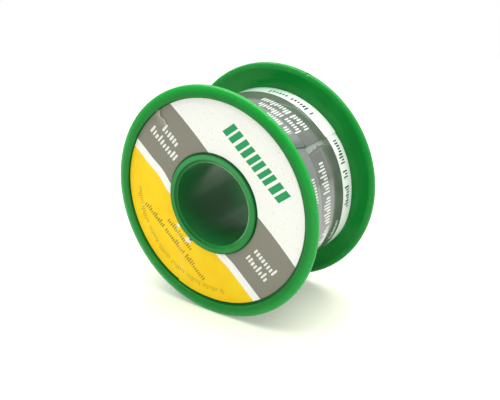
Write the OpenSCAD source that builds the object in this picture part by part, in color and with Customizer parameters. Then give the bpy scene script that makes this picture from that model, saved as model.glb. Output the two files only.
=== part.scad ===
// Small reel of solder wire, lying on the edges of its two flanges.
//
// The reel is moulded in two halves. Each half is a flange with a length of barrel, and the
// front half's spigot is pressed into the rear half's socket. Inside the barrel a plain bore
// runs right through, for a spindle. The wire fills the space between the flanges: its inner
// layers are one plain ring, and its outer layer is one unbroken helical tube. A printed film
// is wrapped round the wire and overlaps itself at a seam. A paper ring lies in the recess of
// the front flange.
//
// +X is to the right and +Z is up as seen from the front, and the front face looks along -Y.
// The reel's axis is parallel to Y, one flange radius above the floor.

/* [Reel] */
// Diameter of both flanges
flange_d = 50; // [46:0.5:70]
// Width of the reel over both flanges
reel_w = 25.5; // [20:0.5:40]
// Thickness of a flange beside the winding
flange_t = 1.65; // [1.4:0.05:2.4]
// Thickness that a flange loses from its taper to its edge
edge_taper = 0.3; // [0:0.05:0.4]
// Width of the part of a flange that tapers
taper_w = 3.6; // [2:0.1:4.5]
// Width of the raised rim round the label recess
rim_w = 2.5; // [1.5:0.1:4]
// Depth of the label recess below the rim
recess_depth = 0.75; // [0.4:0.05:0.9]
// Rounding of a flange's outer edges
edge_round = 0.45; // [0.1:0.05:0.45]
// Rounding of the rim's inner edge
rim_round = 0.12; // [0.05:0.01:0.2]

/* [Barrel] */
// Diameter of the bore
bore_d = 18; // [10:0.5:20]
// Wall of the barrel between the bore and the wire
barrel_wall = 1.9; // [1.6:0.1:3]
// Chamfer at each mouth of the bore
bore_chamfer = 0.75; // [0.2:0.05:0.9]
// How far the collar round the bore stays below the rim
collar_setback = 0.3; // [0:0.05:0.35]
// Rounding of the collar's outer edge
collar_round = 0.3; // [0.1:0.05:0.35]
// Fillet where the barrel meets a flange
root_fillet = 0.4; // [0.2:0.05:0.8]
// Length of the spigot that joins the two halves
spigot_len = 5; // [3:0.5:8]
// Clearance round the spigot and at its end
spigot_gap = 0.04; // [0.02:0.01:0.1]
// Lead-in chamfer on the spigot and in the socket
lead_in = 0.35; // [0.1:0.05:0.5]

/* [Moulding marks] */
// Angle of the front half's gate mark, from +X towards +Z
front_gate_angle = -33; // [-180:1:180]
// Angle of the rear half's gate mark, from +X towards +Z
rear_gate_angle = 72; // [-180:1:180]
// Width of the nick that is left where a gate is broken off
gate_w = 1.2; // [0.6:0.1:2]
// Depth of a gate mark into the flange's edge
gate_depth = 0.15; // [0.05:0.05:0.3]
// Height of a gate mark, from the flange's inner face
gate_h = 0.7; // [0.4:0.1:0.9]

/* [Wire] */
// Diameter of the wire
wire_d = 0.6; // [0.5:0.05:0.8]
// Diameter over the outer layer of wire
winding_d = 39.2; // [32:0.2:42]
// Least clear gap between one turn and the next
turn_gap = 0.44; // [0.42:0.01:0.8]
// Clearance between the wire and the reel, and between its layers
wire_gap = 0.05; // [0.03:0.01:0.1]
// Bend radius where the wire's ends turn down into the winding
tail_bend = 0.9; // [0.7:0.05:1.2]

/* [Labels] */
// Thickness of the paper ring
paper_t = 0.12; // [0.08:0.01:0.2]
// Clearance round both edges of the paper ring
paper_gap = 0.1; // [0.05:0.01:0.3]
// Thickness of the wrapped film
film_t = 0.12; // [0.08:0.01:0.2]
// Clearance between the film and what is next to it
film_gap = 0.08; // [0.05:0.01:0.2]
// Angle at which the film's outer end lies, from +X towards +Z
seam_angle = 39; // [0:1:90]
// Length over which the film overlaps itself
film_overlap = 8; // [4:0.5:14]

/* [Hidden] */
$fn = 96;

green = [0.09, 0.52, 0.22];
rear_green = [0.07, 0.45, 0.18];
wire_grey = [0.72, 0.73, 0.74];
layer_grey = [0.60, 0.61, 0.63];
paper_white = [0.96, 0.95, 0.90];
film_grey = [0.55, 0.57, 0.55];

// Reel, measured from the middle of its width
flange_r = flange_d / 2;
face_z = reel_w / 2;
inner_z = face_z - flange_t;
edge_inner_z = face_z - flange_t + edge_taper;
floor_z = face_z - recess_depth;
collar_z = face_z - collar_setback;
rim_r = flange_r - rim_w;
taper_r = flange_r - taper_w;
bore_r = bore_d / 2;
barrel_r = bore_r + barrel_wall;
arc_steps = 5;

// Spigot and socket share the barrel's wall equally
spigot_r = bore_r + (barrel_wall - spigot_gap) / 2;
socket_r = spigot_r + spigot_gap;
part_gap = spigot_gap;

// Winding: the outer layer fills the width between the flanges with whole turns
turn_sides = 6;
turn_rings = 24;
most_turns = 24;
wire_r = wire_d / 2;
wind_half_w = inner_z - wire_gap;
layer_r = winding_d / 2 - wire_r;
layer_half_w = wind_half_w - wire_r;
turns = min(most_turns, floor(2 * layer_half_w / (wire_d + turn_gap)));
turn_pitch = 2 * layer_half_w / turns;
inner_layers_r = layer_r * cos(180 / turn_rings) - wire_r - wire_gap;

// Wire's ends, each of them a quarter bend and a straight end one wire diameter long
tail_steps = 4;
tail_side = wire_r + 2 * wire_gap;
pocket_floor_r = layer_r - tail_bend - wire_d - wire_gap;
pocket_len = tail_bend + tail_side;

// Film
film_r = winding_d / 2 + film_gap;
film_half_w = inner_z - film_gap;
film_step = film_t + film_gap / 2;
overlap_angle = film_overlap / film_r * 180 / PI;
ramp_angle = 4;
film_points = 144;

// Points along a round corner in a profile, from angle a0 to angle a1
function corner(r, z, radius, a0, a1) = [
    for (i = [0 : arc_steps])
        let (a = a0 + (a1 - a0) * i / arc_steps)
        [r + radius * cos(a), z + radius * sin(a)]
];

// Outline of a flange from the bore's mouth, over its outer face and edge, to the barrel
function flange_outline() = concat(
    [[bore_r, collar_z - bore_chamfer], [bore_r + bore_chamfer, collar_z]],
    corner(barrel_r - collar_round, collar_z - collar_round, collar_round, 90, 0),
    [[barrel_r, floor_z], [rim_r, floor_z]],
    corner(rim_r + rim_round, face_z - rim_round, rim_round, 180, 90),
    corner(flange_r - edge_round, face_z - edge_round, edge_round, 90, 0),
    corner(flange_r - edge_round, edge_inner_z + edge_round, edge_round, 0, -90),
    [[taper_r, inner_z]],
    corner(barrel_r + root_fillet, inner_z - root_fillet, root_fillet, 90, 180)
);

// Front half's barrel, from its shoulder to the spigot's end
function spigot_outline() = [
    [barrel_r, 0],
    [spigot_r, 0],
    [spigot_r, -spigot_len + lead_in],
    [spigot_r - lead_in, -spigot_len],
    [bore_r, -spigot_len]
];

// Rear half's barrel, from its mouth to the socket's floor
function socket_outline() = [
    [barrel_r, part_gap],
    [socket_r + lead_in, part_gap],
    [socket_r, part_gap + lead_in],
    [socket_r, spigot_len + part_gap],
    [bore_r, spigot_len + part_gap]
];

// The reel stands on its edges: local +Z looks along -Y, and local angles start at +X
module on_edge() {
    translate([0, 0, flange_r]) rotate([90, 0, 0]) children();
}

// Nick in a flange's edge where the moulding gate was broken off
module gate_mark(angle) {
    rotate([0, 0, angle])
        translate([flange_r - gate_depth, -gate_w / 2, edge_inner_z - gate_h])
            cube([1, gate_w, 2 * gate_h]);
}

module front_reel_half() {
    color(green)
        on_edge()
            difference() {
                rotate_extrude() polygon(concat(flange_outline(), spigot_outline()));
                gate_mark(front_gate_angle);
            }
}

module rear_reel_half() {
    color(rear_green)
        on_edge()
            difference() {
                mirror([0, 0, 1])
                    rotate_extrude() polygon(concat(flange_outline(), socket_outline()));
                mirror([0, 0, 1]) gate_mark(rear_gate_angle);
            }
}

// Pocket that takes an end of the outer layer's wire, on side -1 or 1 of where its turns end
module tail_pocket(side, z) {
    translate([pocket_floor_r, side < 0 ? -pocket_len : 0, z - tail_side])
        cube([flange_r, pocket_len, 2 * tail_side]);
}

// Everything that lies under the outer layer, as one ring between the flanges
module wire_inner_layers() {
    bevel = root_fillet + wire_gap;
    inner_r = barrel_r + wire_gap;
    color(layer_grey)
        on_edge()
            difference() {
                rotate_extrude()
                    polygon([
                        [inner_r, bevel - wind_half_w],
                        [inner_r + bevel, -wind_half_w],
                        [inner_layers_r, -wind_half_w],
                        [inner_layers_r, wind_half_w],
                        [inner_r + bevel, wind_half_w],
                        [inner_r, wind_half_w - bevel]
                    ]);
                tail_pocket(-1, layer_half_w);
                tail_pocket(1, -layer_half_w);
            }
}

// A step of a wire's centre line is its point, its tangent and its normal.

// One step round the helix of the outer layer, from the front flange towards the rear one
function helix_step(i) =
    let (a = 360 * i / turn_rings,
         slope = turn_pitch / (2 * PI * layer_r),
         z = layer_half_w - turn_pitch * i / turn_rings)
    [[layer_r * cos(a), layer_r * sin(a), z],
     [-sin(a), cos(a), -slope] / norm([1, slope]),
     [cos(a), sin(a), 0]];

// One step of an end that bends down from the layer, on side -1 or 1 of where its turns end
function tail_step(i, side, z) =
    let (a = 90 * min(i, tail_steps) / tail_steps,
         straight = i > tail_steps ? wire_d : 0,
         depth = tail_bend * (1 - cos(a)) + straight)
    [[layer_r - depth, side * tail_bend * sin(a), z],
     [-side * sin(a), cos(a), 0],
     [cos(a), side * sin(a), 0]];

wire_path = concat(
    [for (i = [tail_steps + 1 : -1 : 1]) tail_step(i, -1, layer_half_w)],
    [for (i = [0 : turns * turn_rings]) helix_step(i)],
    [for (i = [1 : tail_steps + 1]) tail_step(i, 1, -layer_half_w)]
);

// Least clear gap between each point of the wire and those from half a turn to two turns on
function least_gap(path) = min([
    for (i = [0 : len(path) - 1 - turn_rings / 2])
        min([
            for (j = [i + turn_rings / 2 : min(len(path) - 1, i + 2 * turn_rings)])
                norm(path[i][0] - path[j][0])
        ])
]) - wire_d;

// Tube round a path of [point, tangent, normal] steps, with flat ends and triangular faces
module tube(path, radius, sides) {
    n = len(path);
    points = [
        for (p = path)
            let (across = cross(p[1], p[2]))
            for (k = [0 : sides - 1])
                let (a = 360 * k / sides)
                p[0] + radius * (cos(a) * p[2] + sin(a) * across)
    ];
    walls = [
        for (i = [0 : n - 2])
            for (k = [0 : sides - 1])
                let (a = i * sides + k, b = i * sides + (k + 1) % sides)
                each [[a, b, b + sides], [a, b + sides, a + sides]]
    ];
    start_cap = [for (k = [1 : sides - 2]) [0, k + 1, k]];
    base = (n - 1) * sides;
    end_cap = [for (k = [1 : sides - 2]) [base, base + k, base + k + 1]];
    polyhedron(points, concat(walls, start_cap, end_cap));
}

// The turns that lie under the film, from the front flange to the rear one
module wire_outer_layer() {
    echo(turns = turns, least_gap_mm = least_gap(wire_path));
    color(wire_grey) on_edge() tube(wire_path, wire_r, turn_sides);
}

// Paper ring on the floor of the front flange's recess
module front_label() {
    color(paper_white)
        on_edge()
            translate([0, 0, floor_z])
                difference() {
                    cylinder(h = paper_t, r = rim_r - paper_gap);
                    translate([0, 0, -1])
                        cylinder(h = paper_t + 2, r = barrel_r + paper_gap);
                }
}

// Radius of the film's inner face at an angle counted along it from its inner end
function film_inner_r(a) =
    let (climb = (a - (360 - ramp_angle)) / ramp_angle)
    film_r + film_step * max(0, min(1, climb));

// Film once round the wire, its outer end lying over its inner end
module wrap_label() {
    total = 360 + overlap_angle;
    start = seam_angle + overlap_angle;
    inner = [
        for (i = [0 : film_points])
            let (a = total * i / film_points, r = film_inner_r(a))
            r * [cos(start - a), sin(start - a)]
    ];
    outer = [
        for (i = [film_points : -1 : 0])
            let (a = total * i / film_points, r = film_inner_r(a) + film_t)
            r * [cos(start - a), sin(start - a)]
    ];
    color(film_grey)
        on_edge()
            translate([0, 0, -film_half_w])
                linear_extrude(height = 2 * film_half_w)
                    polygon(concat(inner, outer));
}

front_reel_half();
rear_reel_half();
wire_inner_layers();
wire_outer_layer();
front_label();
wrap_label();
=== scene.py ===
"""Small reel of solder wire: a green two-part reel, the wound wire, a paper ring and a film wrap.

Everything is in metres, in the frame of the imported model: +X is to the right and +Z is up as
seen from the front, and the front face looks along -Y. The reel lies on the edges of its two
flanges, and its axis is parallel to Y. Sizes in the classes are in millimetres.
"""

import logging
import math
from contextlib import contextmanager
from dataclasses import dataclass, field
from enum import Enum
from typing import Any, Callable, ClassVar, Iterable, Iterator, Optional, Sequence, Union

import bmesh
import bpy
from mathutils import Matrix, Vector, noise


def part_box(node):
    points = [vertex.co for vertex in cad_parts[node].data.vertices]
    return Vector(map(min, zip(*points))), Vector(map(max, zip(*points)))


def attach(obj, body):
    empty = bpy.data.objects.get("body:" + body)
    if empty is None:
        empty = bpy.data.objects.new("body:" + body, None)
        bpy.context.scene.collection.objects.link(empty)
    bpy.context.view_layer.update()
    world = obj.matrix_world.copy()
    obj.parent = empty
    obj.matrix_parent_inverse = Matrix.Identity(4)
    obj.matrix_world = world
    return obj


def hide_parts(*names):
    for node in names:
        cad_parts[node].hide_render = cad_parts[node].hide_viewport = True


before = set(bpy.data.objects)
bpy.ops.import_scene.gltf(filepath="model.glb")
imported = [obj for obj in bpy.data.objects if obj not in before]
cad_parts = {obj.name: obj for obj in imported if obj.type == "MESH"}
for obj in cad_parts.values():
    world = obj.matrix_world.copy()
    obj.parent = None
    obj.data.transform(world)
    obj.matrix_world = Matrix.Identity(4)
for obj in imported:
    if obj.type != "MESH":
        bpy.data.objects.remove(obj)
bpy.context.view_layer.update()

MM = 0.001
FULL_TURN = 2 * math.pi
LOG = logging.getLogger("solder_reel")

Point = tuple[float, float]
Corner = tuple[float, float, float]
Shown = tuple[int, int, int]
Shades = tuple[Shown, Shown]
Colour = tuple[float, float, float, float]
WHITE: Colour = (1.0, 1.0, 1.0, 1.0)


# ---------------------------------------------------------------------------
# Modelling
# ---------------------------------------------------------------------------


class Workpiece:
    """A mesh under work, with the modelling steps that every piece shares."""

    def __init__(self, obj: bpy.types.Object) -> None:
        """Takes hold of a mesh object."""
        self.obj = obj

    @classmethod
    def start(cls, name: str, primitive: Callable[..., Any], **sizes: Any) -> "Workpiece":
        """Adds a primitive with nothing else selected.

        Args:
            name: The object's name.
            primitive: The operator that adds it.
            **sizes: The operator's sizes and place.

        Returns:
            The new workpiece.
        """
        bpy.ops.object.select_all(action="DESELECT")
        primitive(**sizes)
        obj = bpy.context.object
        obj.name = name
        obj.data.name = name
        return cls(obj)

    def activate(self) -> None:
        """Makes this the only selected object."""
        bpy.ops.object.select_all(action="DESELECT")
        self.obj.select_set(True)
        bpy.context.view_layer.objects.active = self.obj

    @contextmanager
    def editing(self) -> Iterator[None]:
        """Opens the mesh in edit mode and closes it again.

        Yields:
            Nothing.
        """
        self.activate()
        bpy.ops.object.mode_set(mode="EDIT")
        try:
            yield
        finally:
            bpy.ops.object.mode_set(mode="OBJECT")

    def settle(self) -> None:
        """Puts the object's place and turn into its mesh."""
        self.activate()
        bpy.ops.object.transform_apply(location=True, rotation=True, scale=True)

    def modify(self, kind: str, **settings: Any) -> None:
        """Adds a modifier and applies it.

        Args:
            kind: The modifier's type.
            **settings: Its settings by name.
        """
        self.activate()
        modifier = self.obj.modifiers.new(kind.lower(), kind)
        for name, value in settings.items():
            setattr(modifier, name, value)
        bpy.ops.object.modifier_apply(modifier=modifier.name)

    def cut(self, size: Vector, place: Matrix) -> None:
        """Cuts a block out of the piece.

        Args:
            size: The block's three sizes, in millimetres.
            place: Where the block's centre and axes are, in metres.
        """
        tool = Workpiece.start("cutter", bpy.ops.mesh.primitive_cube_add, size=1.0)
        tool.obj.matrix_world = place @ Matrix.Diagonal((*(size * MM), 1.0))
        tool.settle()
        self.modify("BOOLEAN", operation="DIFFERENCE", solver="EXACT", object=tool.obj)
        bpy.data.objects.remove(tool.obj)

    def smooth(self, degrees: float = 32.0) -> None:
        """Shades the piece smooth up to an angle between faces."""
        self.activate()
        bpy.ops.object.shade_smooth_by_angle(angle=math.radians(degrees))

    def close_up(self) -> None:
        """Merges doubled vertices and points every face outwards."""
        with self.editing():
            bpy.ops.mesh.select_all(action="SELECT")
            bpy.ops.mesh.remove_doubles(threshold=1e-6)
            bpy.ops.mesh.normals_make_consistent(inside=False)

    def finish(self, material: bpy.types.Material, node: str, slot: str) -> bpy.types.Object:
        """Dresses the piece and puts it in the CAD node's place.

        Args:
            material: The piece's finish.
            node: The CAD node that it stands for.
            slot: The record's material slot; not used.

        Returns:
            The finished object.
        """
        self.obj.data.materials.clear()
        self.obj.data.materials.append(material)
        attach(self.obj, "root")
        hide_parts(node)
        LOG.info("%s: %d faces, stands for %s", self.obj.name, len(self.obj.data.polygons), node)
        return self.obj


def rounded(corners: Sequence[Corner], steps: int = 6) -> list[Point]:
    """Rounds the corners of a closed outline.

    Args:
        corners: Each corner's radius from the axis, its height and its rounding.
        steps: The segments in a rounding.

    Returns:
        The outline's points.
    """
    points: list[Point] = []
    for index, (r, z, radius) in enumerate(corners):
        here = Vector((r, z))
        if radius <= 0:
            points.append((r, z))
            continue
        before = (Vector(corners[index - 1][:2]) - here).normalized()
        after = (Vector(corners[(index + 1) % len(corners)][:2]) - here).normalized()
        half = math.acos(max(-1.0, min(1.0, before.dot(after)))) / 2
        middle = here + (before + after).normalized() * (radius / math.sin(half))
        first = here + before * (radius / math.tan(half)) - middle
        turn = first.angle_signed(here + after * (radius / math.tan(half)) - middle)
        for step in range(steps + 1):
            spoke = first.copy()
            spoke.rotate(Matrix.Rotation(-turn * step / steps, 2))
            points.append(tuple(middle + spoke))
    return points


@dataclass
class Lathe:
    """Turns a closed outline about the reel's axis."""

    axis_height: float
    steps: int = 256

    def turn(self, name: str, outline: Sequence[Point]) -> Workpiece:
        """Draws the outline point by point and spins it once round the axis.

        Args:
            name: The new piece's name.
            outline: Points of radius and Y, in millimetres.

        Returns:
            The turned piece, closed and facing outwards.
        """
        places = [Vector((r * MM, y * MM, self.axis_height * MM)) for r, y in outline]
        piece = Workpiece.start(name, bpy.ops.mesh.primitive_plane_add, size=MM, location=places[0])
        piece.settle()
        with piece.editing():
            bpy.ops.mesh.select_all(action="SELECT")
            bpy.ops.mesh.merge(type="CENTER")
            for here, there in zip(places, [*places[1:], places[0]]):
                bpy.ops.mesh.extrude_region_move(TRANSFORM_OT_translate={"value": there - here})
            bpy.ops.mesh.select_all(action="SELECT")
            bpy.ops.mesh.spin(
                steps=self.steps,
                angle=FULL_TURN,
                center=(0, 0, self.axis_height * MM),
                axis=(0, 1, 0),
            )
        piece.close_up()
        return piece


# ---------------------------------------------------------------------------
# Shader maths
# ---------------------------------------------------------------------------

Number = Union[float, "Scalar"]
Layer = tuple["Scalar", Any]


def linear(*shown: int) -> Colour:
    """A colour of three display values from 0 to 255, as the shader's linear values.

    Args:
        *shown: Red, green and blue.

    Returns:
        The linear colour, by the sRGB curve.
    """
    shares = (value / 255 for value in shown)
    low, slope, lift, power = 0.04045, 12.92, 0.055, 2.4
    return (*(s / slope if s <= low else ((s + lift) / (1 + lift)) ** power for s in shares), 1.0)


class Bench:
    """A node tree, with the one method that adds nodes to it."""

    def __init__(self, owner: Union[bpy.types.Material, bpy.types.World]) -> None:
        """Empties the owner's tree.

        Args:
            owner: The material or the world.
        """
        self.owner = owner
        self.owner.use_nodes = True
        self.tree = self.owner.node_tree
        self.tree.nodes.clear()

    @classmethod
    def of_material(cls, name: str) -> "Bench":
        """A new material's bench."""
        return cls(bpy.data.materials.new(name))

    def node(
        self,
        kind: str,
        settings: Optional[dict[str, Any]] = None,
        sockets: Optional[dict[Any, Any]] = None,
    ) -> bpy.types.Node:
        """Adds a node.

        Args:
            kind: The node's type without the ShaderNode in front.
            settings: Its settings by name.
            sockets: Values or links of its inputs, by name or number.

        Returns:
            The new node.
        """
        node = self.tree.nodes.new("ShaderNode" + kind)
        for name, value in (settings or {}).items():
            setattr(node, name, value)
        for name, value in (sockets or {}).items():
            if isinstance(value, Scalar):
                value = value.socket
            if isinstance(value, bpy.types.NodeSocket):
                self.tree.links.new(value, node.inputs[name])
            else:
                node.inputs[name].default_value = value
        return node

    def math(self, operation: str, *values: Number) -> "Scalar":
        """Adds a Math node on one to three numbers and returns its result."""
        node = self.node("Math", {"operation": operation}, dict(enumerate(values)))
        return Scalar(self, node.outputs[0])

    def mix(self, factor: Number, first: Any, second: Any) -> bpy.types.NodeSocket:
        """Mixes two colours, each a socket or a linear colour, by a factor."""
        node = self.node("Mix", {"data_type": "RGBA"}, {0: factor, 6: first, 7: second})
        return node.outputs[2]

    def blend(self, factor: Number, shades: Shades) -> bpy.types.NodeSocket:
        """Mixes two colours, each of three display values, by a factor."""
        return self.mix(factor, *(linear(*shade) for shade in shades))

    def paint(self, body: Any, layers: Iterable[Layer]) -> bpy.types.NodeSocket:
        """Lays colours over one another.

        Args:
            body: The lowest colour.
            layers: Each higher layer's share and its colour, from the lowest one up.

        Returns:
            The mixed colour.
        """
        for share, colour in layers:
            body = self.mix(share, body, colour)
        return body

    def millimetres(self, axis_height: float) -> bpy.types.NodeSocket:
        """Object coordinates in millimetres.

        Args:
            axis_height: Height of the origin that they count from, in millimetres.

        Returns:
            The vector.
        """
        place = self.node("TexCoord").outputs["Object"]
        sockets = {"Vector": place, "Location": (0, 0, -axis_height), "Scale": (1 / MM,) * 3}
        return self.node("Mapping", {"vector_type": "POINT"}, sockets).outputs[0]

    def split(self, vector: bpy.types.NodeSocket) -> tuple["Scalar", "Scalar", "Scalar"]:
        """The three numbers of a vector."""
        node = self.node("SeparateXYZ", None, {0: vector})
        return tuple(Scalar(self, output) for output in node.outputs)

    def join(self, x: Number, y: Number, z: Number) -> bpy.types.NodeSocket:
        """A vector of three numbers."""
        return self.node("CombineXYZ", None, {0: x, 1: y, 2: z}).outputs[0]

    def grain(self, vector: bpy.types.NodeSocket, scale: float, detail: float) -> "Scalar":
        """A noise of about 0.5 in the middle.

        Args:
            vector: The coordinates that it lies on.
            scale: Its size, in features for each unit of the coordinates.
            detail: Its finer layers.

        Returns:
            The noise's value.
        """
        node = self.node("TexNoise", None, {"Vector": vector, "Scale": scale, "Detail": detail})
        return Scalar(self, node.outputs["Fac"])

    def chance(self, seed: Number) -> "Scalar":
        """A random number from 0 to 1 that stays the same for the same seed."""
        node = self.node("TexWhiteNoise", {"noise_dimensions": "1D"}, {"W": seed})
        return Scalar(self, node.outputs["Value"])

    def bump(self, height: "Scalar", distance: float, strength: float) -> bpy.types.NodeSocket:
        """A normal from a height.

        Args:
            height: The height, from 0 to 1.
            distance: What a height of 1 stands for, in metres.
            strength: The bump's share.

        Returns:
            The normal.
        """
        sockets = {"Height": height, "Distance": distance, "Strength": strength}
        return self.node("Bump", None, sockets).outputs[0]

    def surface(self, sockets: dict[str, Any]) -> bpy.types.Material:
        """Ends the tree in a Principled shader.

        Args:
            sockets: Values or links of its inputs, by name.

        Returns:
            The material.
        """
        shader = self.node("BsdfPrincipled", None, sockets)
        self.node("OutputMaterial", None, {"Surface": shader.outputs[0]})
        return self.owner


def operator(operation: str, flipped: bool = False) -> Callable[..., "Scalar"]:
    """Makes a method of Scalar that adds one Math node.

    Args:
        operation: The node's operation.
        flipped: Whether the operands change places.

    Returns:
        The method.
    """

    def method(self: "Scalar", *others: Number) -> "Scalar":
        """Adds the node and returns its result."""
        values = (*others, self) if flipped else (self, *others)
        return self.bench.math(operation, *values)

    return method


class Scalar:
    """A number socket on which Python's operators build Math nodes."""

    def __init__(self, bench: Bench, socket: bpy.types.NodeSocket) -> None:
        """Wraps a socket of the bench's tree."""
        self.bench, self.socket = bench, socket

    __add__ = __radd__ = operator("ADD")
    __sub__ = operator("SUBTRACT")
    __rsub__ = operator("SUBTRACT", flipped=True)
    __mul__ = __rmul__ = operator("MULTIPLY")
    __truediv__ = operator("DIVIDE")
    __pow__ = operator("POWER")
    __abs__ = operator("ABSOLUTE")
    __gt__ = operator("GREATER_THAN")
    __lt__ = operator("LESS_THAN")
    floor = operator("FLOOR")
    least = operator("MINIMUM")
    most = operator("MAXIMUM")

    def ramp(self, low: float, high: float) -> "Scalar":
        """Rises smoothly from one value to another.

        Args:
            low: Where the result is still 0.
            high: Where it has come to 1.

        Returns:
            The result.
        """
        node = self.bench.node(
            "MapRange",
            {"interpolation_type": "SMOOTHSTEP"},
            {"Value": self, "From Min": low, "From Max": high},
        )
        return Scalar(self.bench, node.outputs[0])

    def between(self, low: Number, high: Number) -> "Scalar":
        """1 from low to high, else 0."""
        return (self > low) * (self < high)

    def peak(self, middle: Number, width: float) -> "Scalar":
        """1 at the middle, falling evenly to 0 at this width on both sides."""
        return (1 - abs(self - middle) / width).most(0.0)


# ---------------------------------------------------------------------------
# Finishes
# ---------------------------------------------------------------------------


@dataclass(frozen=True)
class Spot:
    """A point of the moulding: its place, what part it is on, its noises, and its edge wear, which
    also carries a painted sheen.
    """

    x: Scalar
    y: Scalar
    z: Scalar
    radius: Scalar
    height: Scalar
    outward: Scalar
    inside: Scalar
    fine: Scalar
    rub: Scalar
    wear_and_sheen: Scalar


@dataclass(frozen=True)
class GreenMoulding:
    """Green plastic straight from the mould, with a soft gloss, light handling marks, and painted
    shade, glow and highlights.
    """

    name: str
    colour: Shown
    axis_height: float
    bore: float
    collar: float
    corner: float
    edge: float
    face: float
    gate: Corner
    roughness: float = 0.15
    bore_roughness: float = 0.14
    bore_coat: float = 0.15
    # Tints: pale for edge wear and painted sheen and highlights, deep for random cloudy tone and
    # painted shade, and the painted glow of the edge.
    pale_gains: tuple[float, ...] = (0.8, 0.8, 0.8)
    pale_lift: int = 58
    deep_gains: tuple[float, ...] = (0.6, 0.6, 0.6)
    painted_glow_gains: tuple[float, ...] = (0.6, 1.29, 1.14)
    # The bore wall's painted shade and painted sheen, and the painted highlight on its lip.
    bore_shade_greens: Shades = ((34, 108, 56), (128, 176, 138))
    lip_highlight_green: Shown = (160, 214, 158)
    nick_green: Shown = (120, 205, 140)
    scar_green: Shown = (150, 215, 165)
    crown_width: float = 2.1
    crown_drop: float = 0.3
    grain_depth: float = 0.0012
    smooth_margin: float = 0.75
    scar_reach: Point = (0.04, 0.32)

    def tint(self, gains: Sequence[float], lift: int = 0) -> Colour:
        """The plastic's colour with each channel scaled and then lifted."""
        return linear(*(int(c * gain + lift) for c, gain in zip(self.colour, gains)))

    def material(self) -> bpy.types.Material:
        """Builds the material.

        Returns:
            The material.
        """
        bench = Bench.of_material(self.name)
        place = bench.millimetres(self.axis_height)
        x, y, z = bench.split(place)
        fine, rub = bench.grain(place, 3.5, 3.0), bench.grain(place, 1.3, 4.0)
        radius, height = (x * x + z * z) ** 0.5, abs(y)
        outward = height.ramp(self.face - 1.1, self.face - 0.7)
        inside = radius < self.bore + 0.1
        # Pale edge wear that also stands in for a painted sheen along the outer edge.
        wear_and_sheen = radius.ramp(self.edge - 0.7, self.edge) * (0.3 + rub)
        spot = Spot(x, y, z, radius, height, outward, inside, fine, rub, wear_and_sheen)
        cloudy = 1 - bench.grain(place, 0.22, 2.0).ramp(0.35, 0.68)
        nicks = bench.grain(place, 1.9, 3.0).ramp(0.66, 0.70)
        nicks = nicks * radius.ramp(self.edge - 1.2, self.edge - 0.3)
        scar = self.gate_scar(spot) * fine.ramp(0.3, 0.62)
        # Besides the cloudy tone, nicks and gate scar, these layers hold painted glow, sheen,
        # highlights and shade.
        layers = [
            (cloudy * 0.15, self.tint(self.deep_gains)),
            *self.edge_layers(spot),
            *self.shade_layers(spot),
            *self.bore_layers(spot),
            (nicks * 0.5, linear(*self.nick_green)),
            (scar * 0.45, linear(*self.scar_green)),
        ]
        rough = ((rub - 0.5) * 0.06 + wear_and_sheen * 0.06 + scar * 0.2) * (1 - inside)
        return bench.surface(
            {
                "Base Color": bench.paint(linear(*self.colour), layers),
                "Roughness": self.roughness + rough + inside * self.bore_roughness,
                "Specular IOR Level": 0.16,
                "Coat Weight": inside * self.bore_coat,
                "Coat Roughness": 0.25,
                "Normal": self.relief(spot),
            }
        )

    def edge_layers(self, spot: Spot) -> list[Layer]:
        """Painted glow towards the thin edge, pale wear, and painted sheen and highlights on the
        edge and the collar.

        Args:
            spot: The point.

        Returns:
            Each layer's share and its colour.
        """
        radius, z = spot.radius, spot.z
        # Painted glow: the rim face is painted brighter towards its thin edge, and the inner face
        # near the edge a little.
        painted_glow = radius.ramp(self.edge - 2.0, self.edge - 0.2) * spot.outward
        lip = radius.ramp(self.edge - 1.5, self.edge - 1.0) * (1 - spot.outward)
        top = radius.between(self.bore + 0.75, self.collar) * (spot.height > self.face - 0.16)
        # Pale scuffs on the collar's top, with painted sheen towards its upper side.
        scuffs_and_sheen = top * (0.12 + spot.rub * 0.15 + z.ramp(0.0, 10.0) * 0.45)
        # Painted sheen on the rim towards its right and lower side.
        painted_sheen = (spot.x * 0.8 - z * 0.6).ramp(4.0, 20.0) * painted_glow * 0.18
        # Painted highlight on the outer edge, brightest on the rear half's top.
        edge_highlight = radius.ramp(self.edge - 0.3, self.edge - 0.04)
        edge_highlight = edge_highlight * (0.34 + (spot.y > 0.0) * z.ramp(14.0, 24.0) * 0.26)
        # Painted highlight on the collar's upper crest.
        crest_highlight = radius.between(self.bore + 0.7, self.collar + 0.1)
        crest_highlight = crest_highlight * (spot.height > self.face - 0.6) * z.ramp(5.0, 10.0) * 0.14
        pale = (spot.wear_and_sheen * 0.18 + painted_sheen + crest_highlight).most(scuffs_and_sheen).most(edge_highlight)
        return [
            (painted_glow * 0.8 + lip * 0.35, self.tint(self.painted_glow_gains)),
            (pale, self.tint(self.pale_gains, self.pale_lift)),
        ]

    def shade_layers(self, spot: Spot) -> list[Layer]:
        """Painted shade in the recess's corner, round the collar, on the collar's outer shoulder
        and on the left of the bore's bevel.

        Args:
            spot: The point.

        Returns:
            Each layer's share and its colour.
        """
        radius, height = spot.radius, spot.height
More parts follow.
